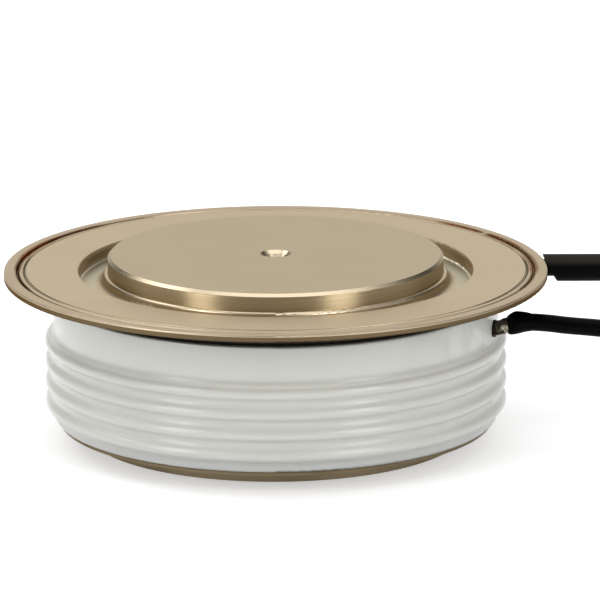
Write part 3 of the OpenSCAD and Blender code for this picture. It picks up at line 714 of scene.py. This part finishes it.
def turned_material(name, colour, tint, wall_colour, roughness):
    """Fine turned nickel plate, whose reflections spread across the turning marks. wall_colour is for the
    wall under the contact face."""
    g = Graph(name)
    polar = radius, cosine, sine, height = g.polar()
    base, streaks = nickel_base(g, polar, colour, tint)
    low = g.remap(height, *CHAMFER_FOOT_Z_ZONE, 1.0, 0.0)
    wall = g.math("MULTIPLY", low, g.remap(radius, *POLE_WALL_R_ZONE))
    marks = g.turned(*polar, 9.0, 1.5)
    worn = g.mix(g.remap(marks, 0.35, 0.65), wall_colour, scaled(wall_colour, POLE_WALL_WEAR))
    base = g.mix(wall, base, worn)
    g.set(base_color=base, metallic=1.0, specular_tint=EDGE_TINT, anisotropic=0.9, anisotropic_rotation=0.25)
    on_top = g.remap(height, *FACE_Z_ZONE)
    chamfer = g.math("SUBTRACT", g.math("SUBTRACT", 1.0, low), on_top, clamp=True)
    sink = g.math("MULTIPLY", g.remap(radius, *SINK_R_ZONE, 1.0, 0.0), g.math("SUBTRACT", 1.0, on_top))
    rough = g.remap(chamfer, 0.0, 1.0, roughness, CHAMFER_ROUGHNESS)
    g.set(roughness=g.math("SUBTRACT", rough, g.math("MULTIPLY", sink, CHAMFER_ROUGHNESS - SINK_ROUGHNESS)))
    around = g.join(g.math("MULTIPLY", sine, -1.0), cosine, 0.0)
    marks_run = g.mix(g.math("SUBTRACT", 1.0, low), around, (0.0, 0.0, 1.0))
    g.set(tangent=g.mix(on_top, marks_run, (1.0, 0.0, 0.0)))
    g.set(normal=g.bump(streaks, 0.0015 * MM, 0.2))
    return g.material


# Ceramic: the grooves between the ribs and the groove under the smooth band, which get painted light, the
# band's lower edge, above which light is painted, the lowest ribs, which are darker, and the edge under the
# brazed neck, which gets a painted shadow
GROOVE_DEPTH_R_ZONE = (CREST_R_MM - 1.15, CREST_R_MM - 0.3)
RIBS_TOP_Z_ZONE = (BAND_Z_MM - 1.3, BAND_Z_MM - 0.5)
UNDER_BAND_Z_ZONE = (BAND_Z_MM - 2.4, BAND_Z_MM - 1.9)
BAND_EDGE_Z_ZONE = (BAND_Z_MM - 0.4, BAND_Z_MM + 0.4)
LOW_RIBS_Z_ZONE = (CERAMIC_BOTTOM_MM + 0.25, CERAMIC_BOTTOM_MM + 4.75)
UNDER_RIM_SHADOW_Z_ZONE = (CERAMIC_TOP_MM - 0.5, CERAMIC_TOP_MM - 0.2)
RIB_GLAZES = ((0.63, 0.635, 0.59), (0.61, 0.615, 0.57))
GROOVE_PAINTED_LIGHT = (0.74, 0.745, 0.695)
UNDER_BAND_PAINTED_LIGHT = (0.86, 0.86, 0.81)
BAND_PAINTED_LIGHT = (0.695, 0.705, 0.655)
LOW_RIBS_DARKER = (0.57, 0.575, 0.555)
SPECK_COLOUR = (0.42, 0.40, 0.35)
UNDER_RIM_PAINTED_SHADOW = (0.06, 0.042, 0.025)


def ceramic_material():
    """Off-white glaze that lets a little light through, with light painted into its grooves and onto its
    smooth band, darker lowest ribs and a painted shadow under the brazed neck.
    """
    g = Graph("glazed_ceramic")
    radius, _, _, height = g.polar()
    waves = g.noise(g.place(), 45.0, 2.0, 0.4)
    specks = g.noise(g.place(), 2200.0, 2.0, 0.6)
    base = g.mix(g.remap(waves, 0.35, 0.7), *RIB_GLAZES)
    groove = g.math("MULTIPLY", g.remap(radius, *GROOVE_DEPTH_R_ZONE, 1.0, 0.0),
                    g.remap(height, *RIBS_TOP_Z_ZONE, 1.0, 0.0))
    # Painted light: the grooves are made paler
    base = g.mix(g.math("MULTIPLY", groove, 0.6), base, GROOVE_PAINTED_LIGHT)
    # Painted light: the groove under the band is made paler still
    under_band = g.math("MULTIPLY", g.remap(height, *UNDER_BAND_Z_ZONE), groove)
    base = g.mix(g.math("MULTIPLY", under_band, 0.7), base, UNDER_BAND_PAINTED_LIGHT)
    # Painted light: the smooth band above its lower edge is made paler
    base = g.mix(g.remap(height, *BAND_EDGE_Z_ZONE), base, BAND_PAINTED_LIGHT)
    # The lowest ribs are darker towards the bottom
    base = g.mix(g.remap(height, *LOW_RIBS_Z_ZONE, 1.0, 0.0), base, LOW_RIBS_DARKER)
    base = g.mix(g.math("MULTIPLY", g.remap(specks, 0.7, 0.8), 0.2), base, SPECK_COLOUR)
    # Painted shadow: the ceramic's edge under the brazed neck is made near black
    under_rim_shadow = g.remap(height, *UNDER_RIM_SHADOW_Z_ZONE)
    base = g.mix(g.math("MULTIPLY", under_rim_shadow, 0.9), base, UNDER_RIM_PAINTED_SHADOW)
    relief = g.bump(g.noise(g.place(), 260.0, 2.0, 0.4), 0.01 * MM, 0.15)
    g.set(base_color=base, roughness=g.remap(waves, 0.3, 0.7, 0.36, 0.42), normal=relief)
    g.set(subsurface_weight=0.75, subsurface_radius=(1.0, 0.95, 0.85), subsurface_scale=3.5 * MM)
    g.set(coat_weight=0.5, coat_roughness=0.1, coat_normal=relief)
    return g.material


def sleeve_material(name, colour, roughness, grain, gloss, painted_top_highlight=None):
    """Black sleeving with a fine unevenness and a little dust. gloss is its specular level, and the last
    argument its greyer colour where it faces up, a painted highlight."""
    g = Graph(name)
    place = g.place()
    grain_noise = g.noise(place, grain, 3.0, 0.6)
    dust = g.noise(place, 900.0, 2.0, 0.5)
    base = g.mix(g.math("MULTIPLY", g.remap(dust, 0.6, 0.8), 0.25), colour, scaled(colour, 4))
    if painted_top_highlight:
        # Painted highlight: greyer where the sleeve faces up
        up = g.split(g.node("ShaderNodeNewGeometry").outputs["Normal"])[2]
        base = g.mix(g.remap(up, 0.25, 0.75), base, painted_top_highlight)
    relief = g.bump(grain_noise, 0.05 * MM, 0.35)
    g.set(base_color=base, roughness=g.remap(grain_noise, 0.3, 0.7, roughness - 0.06, roughness + 0.08))
    g.set(specular_ior_level=gloss, normal=relief)
    return g.material


def metal_material(name, colour, roughness, scale=400.0, dark=0.6):
    """Plain metal with fine random scratches and dull patches."""
    g = Graph(name)
    place = g.place()
    patches = g.noise(place, scale, 4.0, 0.6)
    base = g.mix(g.remap(patches, 0.4, 0.75), colour, scaled(colour, dark))
    rough = g.remap(patches, 0.3, 0.7, roughness - 0.06, roughness + 0.1)
    g.set(base_color=base, metallic=1.0, roughness=rough, normal=g.bump(patches, 0.02 * MM, 0.4))
    return g.material


# Painted light on the solder: it is pale towards +X and towards the bottom, over these two spans, in which
# that comes in
PAINTED_LIGHT_X = (40.9 * MM, 41.9 * MM)
PAINTED_LIGHT_Z = (23.3 * MM, 24.0 * MM)


def solder_material():
    """Dull solder and flux, mottled from near black to beige, with painted light on its lower right."""
    g = Graph("gate_solder")
    x, _, z = g.split(g.place())
    lumps = g.noise(g.place(), 620.0, 3.0, 0.55)
    # Painted light: beige towards the lower right
    painted_light = g.math("MULTIPLY", g.remap(x, *PAINTED_LIGHT_X), g.remap(z, *PAINTED_LIGHT_Z, 1.0, 0.0))
    spotted = g.math("MULTIPLY", g.math("ADD", painted_light, 0.12), g.remap(lumps, 0.36, 0.56))
    base = g.mix(spotted, (0.022, 0.017, 0.010), (0.50, 0.46, 0.36))
    g.set(base_color=base, metallic=0.6, roughness=g.remap(lumps, 0.3, 0.7, 0.55, 0.35))
    g.set(normal=g.bump(lumps, 0.15 * MM, 0.6))
    return g.material


def plastic_material(name, colour, roughness):
    """Smooth, faintly mottled plastic, rubber or lapped silicon."""
    g = Graph(name)
    mottle = g.noise(g.place(), 500.0, 2.0, 0.5)
    base = g.mix(g.remap(mottle, 0.35, 0.7), colour, scaled(colour, 0.92))
    g.set(base_color=base, roughness=g.remap(mottle, 0.3, 0.7, roughness - 0.04, roughness + 0.06))
    g.set(normal=g.bump(mottle, 0.02 * MM, 0.3))
    return g.material


def dress(piece, material):
    """Gives the piece that material alone."""
    piece.data.materials.clear()
    piece.data.materials.append(material)


def dress_parts(cords, rings, boot, solder_lump):
    """Gives every node and piece its material."""
    lid = nickel_material("lid_nickel", (0.575, 0.479, 0.34), (0.555, 0.461, 0.325), 0.4,
                          seam=True, moat=True)
    rim = nickel_material("rim_nickel", (0.52, 0.42, 0.305), (0.47, 0.37, 0.26), 0.36,
                          seam=True, rim=True)
    weld = nickel_material("weld_nickel", (0.40, 0.32, 0.22), (0.30, 0.22, 0.14), 0.3, seam=True)
    pole = turned_material("pole_nickel", (0.524, 0.441, 0.312), (0.508, 0.427, 0.298),
                           wall_colour=(0.54, 0.44, 0.28), roughness=0.33)
    # The anode end's nickel is dark: a painted dark reflection of the shade under the part
    base = nickel_material("anode_nickel_painted_dark", (0.17, 0.135, 0.085), (0.13, 0.10, 0.06), 0.35)
    black = sleeve_material("black_lead", (0.0012, 0.0012, 0.0012), 0.38, 700.0, 0.04)
    # Its last colour is a painted highlight on the sleeve's top
    thick = sleeve_material("black_sleeve", (0.001, 0.001, 0.001), 0.5, 500.0, 0.05, (0.022, 0.019, 0.015))
    tinned = metal_material("tinned_copper", (0.52, 0.52, 0.50), 0.32)
    tab = metal_material("tab_metal", (0.05, 0.045, 0.035), 0.45)
    molybdenum = metal_material("molybdenum", (0.42, 0.42, 0.44), 0.4)
    silver = metal_material("silver", (0.78, 0.77, 0.73), 0.3)
    wire = metal_material("spring_wire", (0.55, 0.55, 0.56), 0.3)
    tube = metal_material("tube_metal", (0.04, 0.03, 0.02), 0.45, 700.0, 0.35)
    # The upper braze fillet is near black: painted shade under the rim
    braze = metal_material("braze_painted_shade", (0.05, 0.045, 0.04), 0.5, 900.0)
    silicon = plastic_material("silicon", (0.16, 0.17, 0.20), 0.3)
    seal = plastic_material("edge_seal", (0.35, 0.08, 0.05), 0.5)
    fluoropolymer = plastic_material("fluoropolymer", (0.80, 0.79, 0.75), 0.45)
    nylon = plastic_material("tie_nylon", (0.72, 0.71, 0.66), 0.4)
    finishes = {
        "ceramic_housing": ceramic_material(), "cathode_lid_flange": lid, "cathode_weld_flange": rim,
        "cathode_pole_piece": pole, "anode_pole_piece": base, "anode_flange": base,
        "anode_molybdenum_disc": molybdenum, "cathode_molybdenum_disc": molybdenum, "silver_shim": silver,
        "silicon_wafer": silicon, "wafer_edge_seal": seal, "locating_ring": fluoropolymer,
        "gate_insulator": fluoropolymer, "gate_spring": wire, "gate_contact_pin": silver,
        "gate_inner_lead": silver, "gate_tube": tube, "gate_lead_terminal": tinned, "cathode_lead_tab": tab,
        "cathode_lead_sleeve": thick, "cathode_lead_terminal": tinned}
    for name, material in finishes.items():
        dress(NODES[name], material)
        shade_smooth(NODES[name], 40.0)
    dress(rings["seam"], weld)
    dress(boot, black)
    dress(solder_lump, solder_material())
    upper_braze, lower_braze = rings["braze"]
    dress(upper_braze, braze)
    dress(lower_braze, base)
    for cord in cords["cords"]:
        dress(cord, black)
    for tie in cords["ties"]:
        dress(tie, nylon)


# Floor and light. The levels are the world's strengths in front of the part, behind it and in the back
# corners. The horizon's two numbers are the sines of the heights where its white starts to fade and ends.
FLOOR_SIZE = 12.0
FLOOR_ALBEDO = 0.80
FLOOR_GLOW = 0.48
FRONT_LEVEL = 0.3
BACK_LEVEL = 1.02
CORNER_LEVEL = 0.05
HORIZON = (0.06, 0.10)
# Spans of the world's direction: front to back along Y, and where the back corners come in along X and Y
DEPTH_SPAN = (-0.5, 0.8)
CORNER_X_SPAN = (0.35, 0.58)
CORNER_Y_SPAN = (0.2, 0.45)
LAMP_AIM = (0.0, 0.0, 0.03)
# Each soft box: its place, what it points at, its width and height, and its power in watts
LAMPS = {
    "top": ((0.10, -0.175, 1.2), (0.10, -0.175, 0.0), (1.40, 0.55), 4.0),
    "back_left": ((-0.99, 0.38, 1.13), LAMP_AIM, (0.77, 0.55), 3.9),
    "front_left": ((-0.86, -0.685, 0.47), LAMP_AIM, (0.38, 0.9), 4.8),
    "front_right": ((0.78, -0.78, 0.47), LAMP_AIM, (0.43, 0.9), 5.5)}


def seen_directly(g):
    """1 for the rays that show the background: the camera's own, and those that metal or glass sends on."""
    rays = g.node("ShaderNodeLightPath")
    return g.math("MAXIMUM", rays.outputs["Is Camera Ray"],
                  g.math("MAXIMUM", rays.outputs["Is Glossy Ray"], rays.outputs["Is Transmission Ray"]))


def make_floor():
    """White floor that keeps the part's shadow, lit a little from within for the rays that show it."""
    mesh = bpy.data.meshes.new("floor")
    half = FLOOR_SIZE / 2
    corners = [(-half, -half, 0), (half, -half, 0), (half, half, 0), (-half, half, 0)]
    mesh.from_pydata(corners, [], [(0, 1, 2, 3)])
    floor = bpy.data.objects.new("floor", mesh)
    bpy.context.scene.collection.objects.link(floor)
    g = Graph("floor_white")
    glow = g.math("MULTIPLY", seen_directly(g), FLOOR_GLOW)
    g.set(base_color=(FLOOR_ALBEDO,) * 3, roughness=0.9)
    g.set(emission_color=(1.0, 1.0, 1.0), emission_strength=glow)
    dress(floor, g.material)


def make_world():
    """A soft studio, brighter behind the part and dim in the two back corners, with a white horizon."""
    g = Graph("studio", world=True)
    x, y, z = g.split(g.node("ShaderNodeTexCoord").outputs["Generated"])
    level = g.remap(y, *DEPTH_SPAN, FRONT_LEVEL, BACK_LEVEL)
    corner = g.math("MULTIPLY", g.remap(g.math("ABSOLUTE", x), *CORNER_X_SPAN), g.remap(y, *CORNER_Y_SPAN))
    dimmed = g.remap(corner, 0.0, 1.0, level, CORNER_LEVEL, smooth=False)
    horizon = g.math("MULTIPLY", seen_directly(g), g.remap(g.math("ABSOLUTE", z), *HORIZON, 1.0, 0.0))
    g.set(color=(1.0, 1.0, 1.0), strength=g.remap(horizon, 0.0, 1.0, dimmed, 1.0, smooth=False))
    bpy.context.scene.world = g.material


def add_area_light(name, place, aim, size, power):
    """Soft box at place that points at aim."""
    data = bpy.data.lights.new(name, "AREA")
    data.shape = "RECTANGLE"
    data.size, data.size_y = size
    data.energy = power
    lamp = bpy.data.objects.new(name, data)
    bpy.context.scene.collection.objects.link(lamp)
    lamp.location = place
    lamp.rotation_euler = (Vector(aim) - Vector(place)).to_track_quat("-Z", "Y").to_euler()


def make_lights():
    """Soft boxes overhead, at the back on the left, and low on each side of the camera."""
    for name, (place, aim, size, power) in LAMPS.items():
        add_area_light(name, place, aim, size, power)


boot, solder_lump = make_gate_end()
cords = make_cords()
rings = make_rings()
dress_parts(cords, rings, boot, solder_lump)
make_camera()
make_floor()
make_world()
make_lights()
bpy.context.scene.view_settings.view_transform = "Standard"
